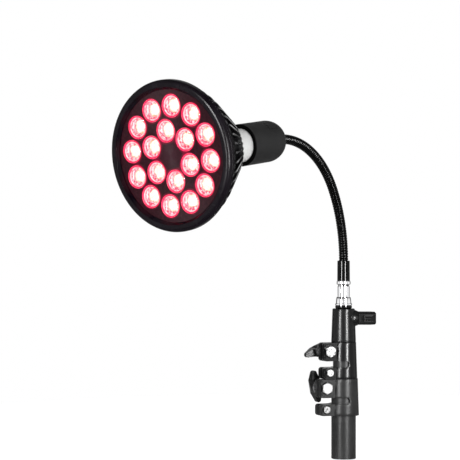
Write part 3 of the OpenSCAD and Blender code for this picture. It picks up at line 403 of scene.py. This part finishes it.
def lens_piece(name, ring, profile, tips, shader):
    """One piece with a revolved body at each lens of the ring; spot holds place in the lens and its number."""
    points, faces, spots = [], [], []
    base_points, base_faces = revolved(profile, LENS_SIDES, tips)
    for number, (x, y) in enumerate(ring_places(ring)):
        start = len(points)
        for p in base_points:
            points.append(LAMP @ (Vector((x + p[0], y + p[1], p[2])) * MM))
            spots += [p[0] / LENS_R, -p[1] / LENS_R, number + ring[1]]
        faces += [tuple(start + i for i in f) for f in base_faces]
    piece = new_object(name, points, faces, shader)
    piece.data.attributes.new("spot", "FLOAT_VECTOR", "POINT").data.foreach_set("vector", spots)
    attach(piece, "bulb")
    return piece


def lens_clear():
    """Clear acrylic dome: all but invisible save for its gloss."""
    s = Shader("lens_clear", color=(1.0, 0.97, 0.98), rough=0.0, spec=0.5, ior=1.03, clear=1.0, coat=0.2,
               coat_rough=0.03)
    s.bump(s.noise(260.0, 2.0), 0.00003)
    return s


def lens_lit():
    """Lit inside of a lens: a white-hot spot right of its middle, pink walls with facets, a deep red rim."""
    s = Shader("lens_lit", color=(0.30, 0.01, 0.03), rough=0.25, glow=1.0)
    spot = s.add("Attribute", attribute_name="spot").outputs["Vector"]
    x, y, number = s.add("SeparateXYZ", {"Vector": spot}).outputs
    radius = s.vector("LENGTH", s.joined(X=x, Y=y), out="Value")
    angle = s.math("ARCTAN2", y, x)
    seed = s.math("MULTIPLY", number, 2.37)
    swirl = s.joined(X=x, Y=y, Z=seed)
    blot = s.noise(3.2, 4.0, 0.6, place=swirl)
    fleck = s.noise(7.5, 3.0, 0.65, place=swirl)
    wander = s.remap(s.noise(1.3, 1.0, place=s.joined(Z=seed)), 0.3, 0.7, -0.08, 0.08)

    # Walls: pink with white flecks, deep red arcs low on the left and rosy ones high on the right
    walls = s.mix(s.remap(fleck, 0.44, 0.60, 0, 1), PINK, WHITE)
    walls = s.mix(s.remap(blot, 0.56, 0.64, 0, 0.85), walls, ROSE)
    low_left = s.remap(s.math("COSINE", s.math("SUBTRACT", angle, math.radians(DEEP_SIDE))), 0.25, 0.6, 0, 1)
    arc = s.math("MULTIPLY", s.band(radius, *ARC_RADII, 0.04), low_left)
    walls = s.mix(s.math("MULTIPLY", arc, s.remap(fleck, 0.56, 0.50, 0, 1)), walls, DEEP_RED)
    high_right = s.remap(s.math("COSINE", s.math("SUBTRACT", angle, math.radians(ROSY_SIDE))), 0.72, 0.9, 0, 0.7)
    walls = s.mix(s.math("MULTIPLY", high_right, s.band(fleck, 0.50, 0.56, 0.02)), walls, ROSE)

    # The hot spot with its warm edge, and the bright dash beside it, a painted reflection of the LED in the lens's
    # wall
    across = s.math("DIVIDE", s.math("SUBTRACT", x, s.math("ADD", HOT_MIDDLE[0], wander)), HOT_SIZE[0])
    up = s.math("DIVIDE", s.math("SUBTRACT", y, HOT_MIDDLE[1]), HOT_SIZE[1])
    away = s.vector("LENGTH", s.joined(X=across, Y=up), out="Value")
    away = s.math("ADD", away, s.remap(blot, 0.3, 0.7, -0.22, 0.22))
    hot = s.mix(s.remap(fleck, 0.46, 0.62, 0, 0.9), HOT, WARM)
    color = s.mix(s.remap(away, 0.84, 0.92, 0, 1), hot, AMBER)
    color = s.mix(s.remap(away, 0.93, 1.04, 0, 1), color, walls)
    dash = s.math("MULTIPLY", s.band(x, *DASH_X, 0.04), s.band(y, *DASH_Y, 0.06))
    color = s.mix(dash, color, HOT)
    facet = s.remap(s.math("SINE", s.math("ADD", s.math("MULTIPLY", angle, GLINTS), seed)), 0.6, 0.85, 0, 1)
    glint = s.math("MULTIPLY", facet, s.band(radius, *GLINT_RADII, 0.04))
    color = s.mix(s.math("MULTIPLY", glint, s.remap(blot, 0.46, 0.54, 0, 1)), color, HOT)

    # Bright collar inside the red rim
    collar = s.mix(s.remap(blot, 0.48, 0.60, 0, 1), WHITE, PINK)
    color = s.mix(s.band(radius, *COLLAR_RADII, 0.02), color, collar)
    inner_line = s.math("MULTIPLY", s.band(radius, *LINE_RADII, 0.015), s.remap(x, -0.1, -0.3, 0, 1))
    color = s.mix(s.math("MULTIPLY", inner_line, 0.8), color, ROSE)
    color = s.mix(s.remap(radius, *RIM_RADII, 0, 1), color, RIM_RED)
    s.feed(color, "glow_color")
    s.feed(s.remap(away, 0.7, 1.0, LENS_HOT_LEVEL, 1.0), "glow")
    return s


def lenses():
    """Two rings of lenses: a lit inside with real depth under a clear dome."""
    angles = [math.radians(d) for d in DOME_ANGLES]
    dome = [(LENS_R * math.sin(a), LENS_EDGE - LENS_CROWN * math.cos(a)) for a in angles]
    dome.append((LENS_R, LENS_FLOOR))
    clear, lit = lens_clear(), lens_lit()
    for label, ring in (("outer", OUTER_RING), ("inner", INNER_RING)):
        inside = RELIEF[::-1] + RELIEF_BACK
        body = lens_piece("lens_bodies_" + label, ring, inside, (RELIEF_TIP, RELIEF_BACK[-1][1]), lit)
        lens_piece("lens_domes_" + label, ring, dome, (LENS_EDGE - LENS_CROWN, LENS_FLOOR), clear)
        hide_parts("lenses_" + label)


# Neck, in mm and degrees: the foot of its curve, the radius of its lower bend and the lean there, the radius of
# its upper bend and the whole turn, its pieces, and how far it runs on straight at both ends
NECK_FOOT_Z = 176.7
NECK_RISE_R = 127.0
NECK_LEAN = 30.0
NECK_TOP_R = 83.0
NECK_TURN = 97.5
NECK_PARTS = 6
NECK_TAIL = 8.6
# Its ribs: radius, pitch, depth of the grooves and their width as a share of the pitch, and the crowns' rounding
NECK_R = 4.2
RIB_PITCH = 2.28
GROOVE_DEPTH = 0.62
GROOVE_SHARE = 0.13
CROWN_ROUND = 0.12
# Its faces: sides, and rings in a pitch
NECK_SIDES = 28
NECK_RINGS = 8

RISE_LEN = math.radians(NECK_LEAN) * NECK_RISE_R
NECK_LEN = RISE_LEN + math.radians(NECK_TURN - NECK_LEAN) * NECK_TOP_R
PART_LEN = NECK_LEN / NECK_PARTS


def neck_at(s):
    """Place of the neck's middle line at the distance s, in mm: y, z and the heading from up, in radians."""
    def arc(start, heading, radius, length):
        h = heading + length / radius
        y = start[0] - radius * (math.cos(heading) - math.cos(h))
        return y, start[1] + radius * (math.sin(h) - math.sin(heading)), h
    foot = (0.0, NECK_FOOT_Z)
    if s < 0:
        return 0.0, NECK_FOOT_Z + s, 0.0
    if s < RISE_LEN:
        return arc(foot, 0.0, NECK_RISE_R, s)
    *bend, lean = arc(foot, 0.0, NECK_RISE_R, RISE_LEN)
    if s < NECK_LEN:
        return arc(bend, lean, NECK_TOP_R, s - RISE_LEN)
    y, z, heading = arc(bend, lean, NECK_TOP_R, NECK_LEN - RISE_LEN)
    past = s - NECK_LEN
    return y - past * math.sin(heading), z + past * math.cos(heading), heading


def neck_radius(s, turn):
    """Radius over the wound ribs: rounded crowns with narrow grooves, one turn for each pitch."""
    phase = (s / RIB_PITCH - turn) % 1.0
    edge = min(phase, 1 - phase)
    groove = GROOVE_DEPTH * math.exp(-((edge / GROOVE_SHARE) ** 2))
    return NECK_R - groove - CROWN_ROUND * (1 - math.sin(math.pi * phase)) ** 2


def neck_piece(name, start, stop, shader):
    """Closed ribbed tube along the neck's middle line between two distances, in mm."""
    rings = max(2, round((stop - start) / RIB_PITCH * NECK_RINGS))
    points, faces = [], []
    for k in range(rings + 1):
        s = start + (stop - start) * k / rings
        y, z, h = neck_at(s)
        for i in range(NECK_SIDES):
            a = 2 * math.pi * i / NECK_SIDES
            r = neck_radius(s, i / NECK_SIDES)
            points.append((r * math.cos(a) * MM, (y + r * math.sin(a) * math.cos(h)) * MM,
                           (z + r * math.sin(a) * math.sin(h)) * MM))
    for k in range(rings):
        for i in range(NECK_SIDES):
            j = (i + 1) % NECK_SIDES
            low, high = k * NECK_SIDES, (k + 1) * NECK_SIDES
            faces.append((low + i, low + j, high + j, high + i))
    faces.append(tuple(range(NECK_SIDES))[::-1])
    faces.append(tuple(rings * NECK_SIDES + i for i in range(NECK_SIDES)))
    piece = new_object(name, points, faces, shader)
    return piece


def neck_black():
    """Black coated winding: glossy, with cloudy variation of its gloss."""
    s = Shader("neck_black", color=(0.001, 0.001, 0.001), rough=0.15, spec=0.07)
    cloud = s.noise(300.0, 3.0)
    s.feed(s.mix(s.remap(cloud, 0.35, 0.65, 0, 1), (0.0008, 0.0008, 0.0009), (0.002, 0.002, 0.0021)), "color")
    s.feed(s.remap(cloud, 0.3, 0.7, 0.10, 0.18), "rough")
    s.bump(s.noise(2500.0, 2.0), 0.00001)
    return s


def neck():
    """The ribbed neck: one piece on the adapter, one across each of its five joints, one on the holder."""
    shader = neck_black()
    chain = ["adapter", "neck_2", "neck_3", "neck_4", "neck_5", "lamp_holder"]
    foot = neck_piece("neck_foot", -NECK_TAIL, PART_LEN / 2, shader)
    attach(foot, chain[0])
    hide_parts("gooseneck_1")
    for k in range(1, NECK_PARTS):
        start, stop = (k - 0.5) * PART_LEN, (k + 0.5) * PART_LEN
        piece = neck_piece(f"neck_bend_piece_{k}", start, stop, shader)
        (y0, z0, _), (y1, z1, _) = neck_at(start), neck_at(stop)
        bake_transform(piece)
        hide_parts(f"gooseneck_{k + 1}")
    top = neck_piece("neck_top", NECK_LEN - PART_LEN / 2, NECK_LEN + NECK_TAIL, shader)
    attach(top, chain[-1])
    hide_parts("gooseneck_6")


def paint(shader, *nodes):
    """Gives every slot of these CAD nodes the shader's material."""
    for node in nodes:
        mesh = NODES[node].data
        mesh.materials.clear()
        mesh.materials.append(shader.material)
        for face in mesh.polygons:
            face.material_index = 0


# The tent as reflections see it: each dark seam's azimuth from the camera and half width, in degrees
TENT_SEAMS = [(0, 4), (-60, 5), (58, 3), (-135, 17), (135, 17)]
SEAM_LEVEL = 0.08
SEAM_SOFT = math.radians(2.5)
TENT_TOP = 0.35
# The level of the soft light from the sides, from above and from below
FILL_SIDE = 0.60
FILL_TOP = 0.12
FILL_BELOW = 1.1
# Azimuth of the camera about the stand
CAMERA_AZIMUTH = math.atan2(-CAMERA_TO[1], -CAMERA_TO[0])


def make_world():
    """Plain studio: white behind the object; reflections see a pale tent with dark seams between its panels."""
    world = bpy.data.worlds.new("studio")
    bpy.context.scene.world = world
    world.use_nodes = True
    w = Nodes(world.node_tree)
    rays = w.add("LightPath").outputs
    direction = w.add("TexCoord").outputs["Generated"]
    turned = w.add("VectorRotate", {"Vector": direction, "Angle": -CAMERA_AZIMUTH}, rotation_type="Z_AXIS")
    x, y, z = w.add("SeparateXYZ", {"Vector": turned.outputs[0]}).outputs
    azimuth = w.math("ARCTAN2", y, x)
    tent = w.remap(z, -0.1, 0.9, 1.0, TENT_TOP)
    for seam, half_width in TENT_SEAMS:
        away = w.math("ABSOLUTE", w.math("SUBTRACT", azimuth, math.radians(seam)))
        edge = math.radians(half_width)
        tent = w.math("MULTIPLY", tent, w.remap(away, edge - SEAM_SOFT, edge + SEAM_SOFT, SEAM_LEVEL, 1.0))
    fill = w.math("ADD", w.remap(z, 0.0, 1.0, FILL_SIDE, FILL_TOP),
                  w.remap(z, -1.0, 0.0, FILL_BELOW - FILL_SIDE, 0.0))

    # Gloss sees the tent, other rays the fill, and the camera white, also through clear pieces
    glossy = rays["Is Glossy Ray"]
    other = w.math("SUBTRACT", 1.0, glossy)
    level = w.math("ADD", w.math("MULTIPLY", tent, glossy), w.math("MULTIPLY", fill, other))
    white = w.math("MAXIMUM", rays["Is Camera Ray"], w.math("MULTIPLY", rays["Is Transmission Ray"], other))
    sky = w.add("Background", {"Color": (1, 1, 1, 1), "Strength": w.math("MAXIMUM", level, white)})
    w.link(sky.outputs[0], w.add("OutputWorld").inputs[0])


# The floor: its radius in metres, its number of sides, and how far it lies under the tube's end in mm
FLOOR_R = 0.62
FLOOR_SIDES = 96
FLOOR_DROP = 0.6


def make_floor():
    """Pale round floor under the tube's end, as bright as the backdrop where the camera sees it."""
    angles = [2 * math.pi * i / FLOOR_SIDES for i in range(FLOOR_SIDES)]
    points = [(FLOOR_R * math.cos(a), FLOOR_R * math.sin(a), -FLOOR_DROP * MM) for a in angles]
    s = Shader("floor_white", color=(0.86, 0.86, 0.86), rough=0.9, spec=0.0, glow=1.0)
    rays = s.add("LightPath").outputs
    plain = s.math("MAXIMUM", rays["Is Camera Ray"], rays["Is Transmission Ray"])
    s.feed(s.mix(plain, (0.0, 0.0, 0.0), (0.8, 0.8, 0.8)), "glow_color")
    new_object("floor", points, [tuple(range(FLOOR_SIDES))], s)


# The soft boxes: name, azimuth from the camera to its right in degrees, width in metres, power in watts, and
# whether it is for gloss or for colour
SOFT_BOXES = [("left_strip", -39, 0.22, 83, True), ("right_strip", 33, 0.20, 99, True),
              ("left_key", -39, 0.6, 11, False), ("right_key", 33, 0.6, 14, False)]
# Their tallness, their distance from the stand's axis, and their height over the point that they face, in metres
BOX_TALL = 1.1
BOX_AWAY = 1.6
BOX_RISE = 0.1
LIT_POINT = Vector((0, -0.1, 0.17))


def soft_box(name, azimuth, width, power, gloss):
    """Area light that faces the middle of the object, for gloss or for colour."""
    data = bpy.data.lights.new(name, "AREA")
    data.shape = "RECTANGLE"
    data.size, data.size_y = width, BOX_TALL
    data.energy = power
    lamp = bpy.data.objects.new(name, data)
    toward = CAMERA_AZIMUTH + math.radians(azimuth)
    offset = Vector((BOX_AWAY * math.cos(toward), BOX_AWAY * math.sin(toward), BOX_RISE))
    lamp.location = LIT_POINT + offset
    lamp.rotation_euler = (-offset).to_track_quat("-Z", "Y").to_euler()
    lamp.visible_camera = False
    lamp.visible_glossy = gloss
    lamp.visible_diffuse = not gloss
    bpy.context.scene.collection.objects.link(lamp)


SINK = moulded("sink_black", (0.004, 0.0035, 0.0045), 0.20, spec=0.22, grain=1400.0)
HOLDER = moulded("holder_grey", (0.020, 0.020, 0.0203), 0.6, spec=0.1, grain=1800.0, depth=0.00004)
CORE = moulded("core_black", (0.002, 0.002, 0.002), 0.5, spec=0.02)

# Outlines of turned rings: radius and place along their axis, in mm. Of the holder's rim, the sides that are black
RIM_LOOP = [(14.4, 91.9), (14.7, 91.4), (16.8, 91.4), (17.3, 91.6), (17.6, 92.1), (17.6, 93.98), (16.05, 93.98),
            (16.05, 94.38), (14.4, 94.38)]
RIM_BLACK = (0, 1, 2, 3, 7, 8)
WEB_LOOP = [(30.5, 51.0), (31.9, 54.0), (30.6, 56.2), (29.0, 58.2), (27.4, 59.8), (25.8, 61.3), (23.4, 62.85),
            (21.9, 62.85), (24.5, 58.0), (29.5, 52.0)]
WASHER_LOOP = [(3.1, 12.92), (6.0, 12.92), (6.0, 13.28), (3.1, 13.28)]

RING_SIDES = 128
# Least angle between faces that keeps an edge hard on a turned ring
HARD_EDGE = math.radians(30)
# Rounding of the stand's edges: its width and how near points are joined first, in mm, its steps, and the least
# angle of an edge
EDGE_ROUND = 0.4
WELD_REACH = 0.002
EDGE_STEPS = 2
EDGE_ANGLE = math.radians(40)

# Place of the hub knob's screw: its line's height in metres, and its turn about the stand
HUB_SCREW_Z = 0.1253
HUB_SCREW_TURN = math.radians(36)
HUB_SCREW = (Matrix.Translation((0, 0, HUB_SCREW_Z)) @ Matrix.Rotation(HUB_SCREW_TURN, 4, "Z")
             @ Matrix.Rotation(math.pi / 2, 4, "Y"))


def turned_ring(name, loop, shaders, place, body, second=()):
    """Closed ring with that outline, turned about the Z axis of the place, which rides on the body.

    The sides of the outline listed in second take the second shader."""
    count = len(loop)
    points, faces = [], []
    for i in range(RING_SIDES):
        a = 2 * math.pi * i / RING_SIDES
        points += [place @ (Vector((r * math.cos(a), r * math.sin(a), t)) * MM) for r, t in loop]
    for i in range(RING_SIDES):
        j = (i + 1) % RING_SIDES
        for k in range(count):
            m = (k + 1) % count
            faces.append((i * count + k, i * count + m, j * count + m, j * count + k))
    piece = new_object(name, points, faces, *shaders)
    for face in piece.data.polygons:
        face.material_index = int(face.index % count in second)
    edges = piece.modifiers.new("edges", "EDGE_SPLIT")
    edges.split_angle = HARD_EDGE
    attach(piece, body)


def soften(*nodes):
    """Rounds the hard edges of these CAD nodes."""
    for node in nodes:
        weld = NODES[node].modifiers.new("weld", "WELD")
        weld.merge_threshold = WELD_REACH * MM
        bevel = NODES[node].modifiers.new("edges", "BEVEL")
        bevel.width = EDGE_ROUND * MM
        bevel.segments = EDGE_STEPS
        bevel.limit_method = "ANGLE"
        bevel.angle_limit = EDGE_ANGLE
        bevel.harden_normals = True


def carried_over():
    """Materials of the CAD nodes that show as they are."""
    paint(bezel_black(), "front_bezel")
    paint(plate_black(), "lens_plate")
    paint(SINK, "heat_sink")
    paint(moulded("pale_plastic", (0.90, 0.90, 0.89), 0.45, spec=0.3, mottle=0.02), "base_collar", "driver_cup")
    paint(HOLDER, "holder_shell", "holder_dome")
    paint(CORE, "holder_core")
    paint(moulded("sleeve_black", (0.0012, 0.0012, 0.0012), 0.09, spec=0.12, depth=0.000003), "foot_sleeve")
    paint(moulded("ring_black", (0.003, 0.003, 0.003), 0.10, spec=0.3, depth=0.000004), "spigot")
    paint(moulded("hub_grey", (0.010, 0.010, 0.0102), 0.24, spec=0.14, grain=1600.0), "hub")
    paint(moulded("knob_black", (0.008, 0.008, 0.008), 0.28, spec=0.2, grain=1600.0),
          "hub_knob", "upper_wing_knob", "lower_wing_knob")
    paint(moulded("clamp_black", (0.008, 0.008, 0.0082), 0.24, spec=0.15, grain=1600.0), "upper_collar")
    paint(moulded("clamp_matt", (0.029, 0.029, 0.0295), 0.36, spec=0.14, grain=1300.0, depth=0.00003, mottle=0.2),
          "lower_collar")
    paint(moulded("bush_black", (0.03, 0.03, 0.03), 0.5), "top_bush", "middle_bush")
    paint(moulded("tube_grey", (0.038, 0.038, 0.0385), 0.36, spec=0.15, grain=900.0, depth=0.00006, mottle=0.2),
          "outer_tube", "middle_tube", "top_tube")
    paint(moulded("insulator_black", (0.012, 0.012, 0.013), 0.25), "base_insulator")
    paint(stud_chrome(), "adapter_stud", "adapter_nut")
    paint(bolt_metal("bolt_worn", 0.9), "upper_clamp_bolt", "upper_fix_bolt", "lower_fix_bolt")
    paint(bolt_metal("bolt_bright", 0.0), "lower_clamp_bolt")
    paint(bright_metal("steel", (0.66, 0.66, 0.67), 0.26, 0.08), "neck_ferrule", "ferrule_nut", "hub_knob_screw",
          "upper_fix_nut", "upper_washer", "lower_fix_nut", "lower_washer", "board_screws")
    paint(bright_metal("nickel", (0.78, 0.76, 0.72), 0.18), "screw_shell", "tip_contact")
    paint(bright_metal("brass", (0.80, 0.62, 0.30), 0.24), "thread_sleeve", "centre_contact", "terminal_screws",
          "hub_insert", "upper_wing_insert", "lower_wing_insert")
    paint(moulded("led_white", (0.85, 0.85, 0.80), 0.4), "led_emitters")
    paint(moulded("board_white", (0.80, 0.82, 0.80), 0.4), "led_board")
    paint(moulded("board_green", (0.02, 0.10, 0.05), 0.35), "driver_board")
    paint(moulded("component_mix", (0.45, 0.34, 0.08), 0.4), "driver_components")
    paint(moulded("lead_red", (0.50, 0.02, 0.02), 0.45), "led_leads")


bpy.context.scene.view_settings.view_transform = "Standard"
make_camera()
make_world()
make_floor()
for box in SOFT_BOXES:
    soft_box(*box)
carried_over()
soften("hub", "upper_collar", "lower_collar")
turned_ring("holder_rim", RIM_LOOP, (HOLDER, CORE), LAMP, "lamp_holder", RIM_BLACK)
turned_ring("fin_web", WEB_LOOP, (SINK,), LAMP, "bulb")
turned_ring("hub_knob_washer", WASHER_LOOP, (CORE,), HUB_SCREW, "hub_knob")
lenses()
neck()
